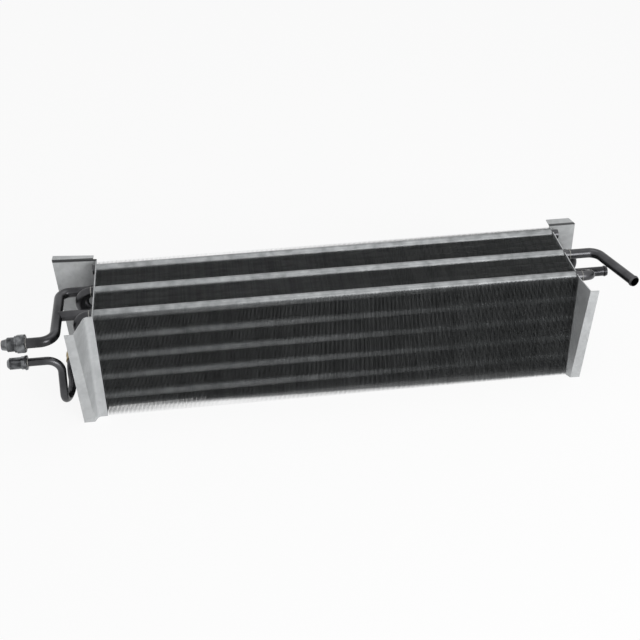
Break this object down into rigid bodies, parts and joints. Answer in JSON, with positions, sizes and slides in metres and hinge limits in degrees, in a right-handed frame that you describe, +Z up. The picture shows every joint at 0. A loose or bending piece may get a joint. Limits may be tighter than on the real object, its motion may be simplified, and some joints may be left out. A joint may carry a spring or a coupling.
{
  "type": "evaporator core",
  "caption": "Tube-and-fin evaporator core with folded end plates, return bends, suction and liquid lines with threaded ports, and two hose ends.",
  "frame": {"origin": "middle of the fin pack's underside, in the plane on which both end plates stand", "axes": "+X along the tubes from the fitting end to the hose end, +Y from the front face with the tapered lips to the rear, +Z up"},
  "size_m": [0.9885, 0.2272, 0.1975],
  "materials": {
    "fin_aluminium": "mill finish pressed foil",
    "galvanised_sheet": "smooth zinc coating",
    "tube_metal": "dull drawn tube",
    "turned_fitting": "turned, bright on edges",
    "distributor_brass": "turned, dull"
  },
  "bodies": {
    "root": {"core_tubes_column_1": "tube_metal", "core_tubes_column_2": "tube_metal", "core_tubes_column_3": "tube_metal", "core_tubes_column_4": "tube_metal", "core_tubes_column_5": "tube_metal", "distributor": "distributor_brass", "end_plate_left": "galvanised_sheet", "end_plate_right": "galvanised_sheet", "feeder_front": "tube_metal", "feeder_rear": "tube_metal", "fin_pack": "fin_aluminium", "hose_end_lower": "tube_metal", "hose_end_upper": "tube_metal", "inlet_reducer_front": "tube_metal", "inlet_reducer_rear": "tube_metal", "liquid_fitting": "turned_fitting", "liquid_pipe": "tube_metal", "return_bend_left_01": "tube_metal", "return_bend_left_02": "tube_metal", "return_bend_left_03": "tube_metal", "return_bend_left_04": "tube_metal", "return_bend_left_05": "tube_metal", "return_bend_left_06": "tube_metal", "return_bend_left_07": "tube_metal", "return_bend_left_08": "tube_metal", "return_bend_left_09": "tube_metal", "return_bend_left_10": "tube_metal", "return_bend_right_01": "tube_metal", "return_bend_right_02": "tube_metal", "return_bend_right_03": "tube_metal", "return_bend_right_04": "tube_metal", "return_bend_right_05": "tube_metal", "return_bend_right_06": "tube_metal", "return_bend_right_07": "tube_metal", "return_bend_right_08": "tube_metal", "return_bend_right_09": "tube_metal", "return_bend_right_10": "tube_metal", "return_bend_right_11": "tube_metal", "suction_branch": "tube_metal", "suction_fitting": "turned_fitting", "suction_header": "tube_metal"}
  },
  "joints": []
}
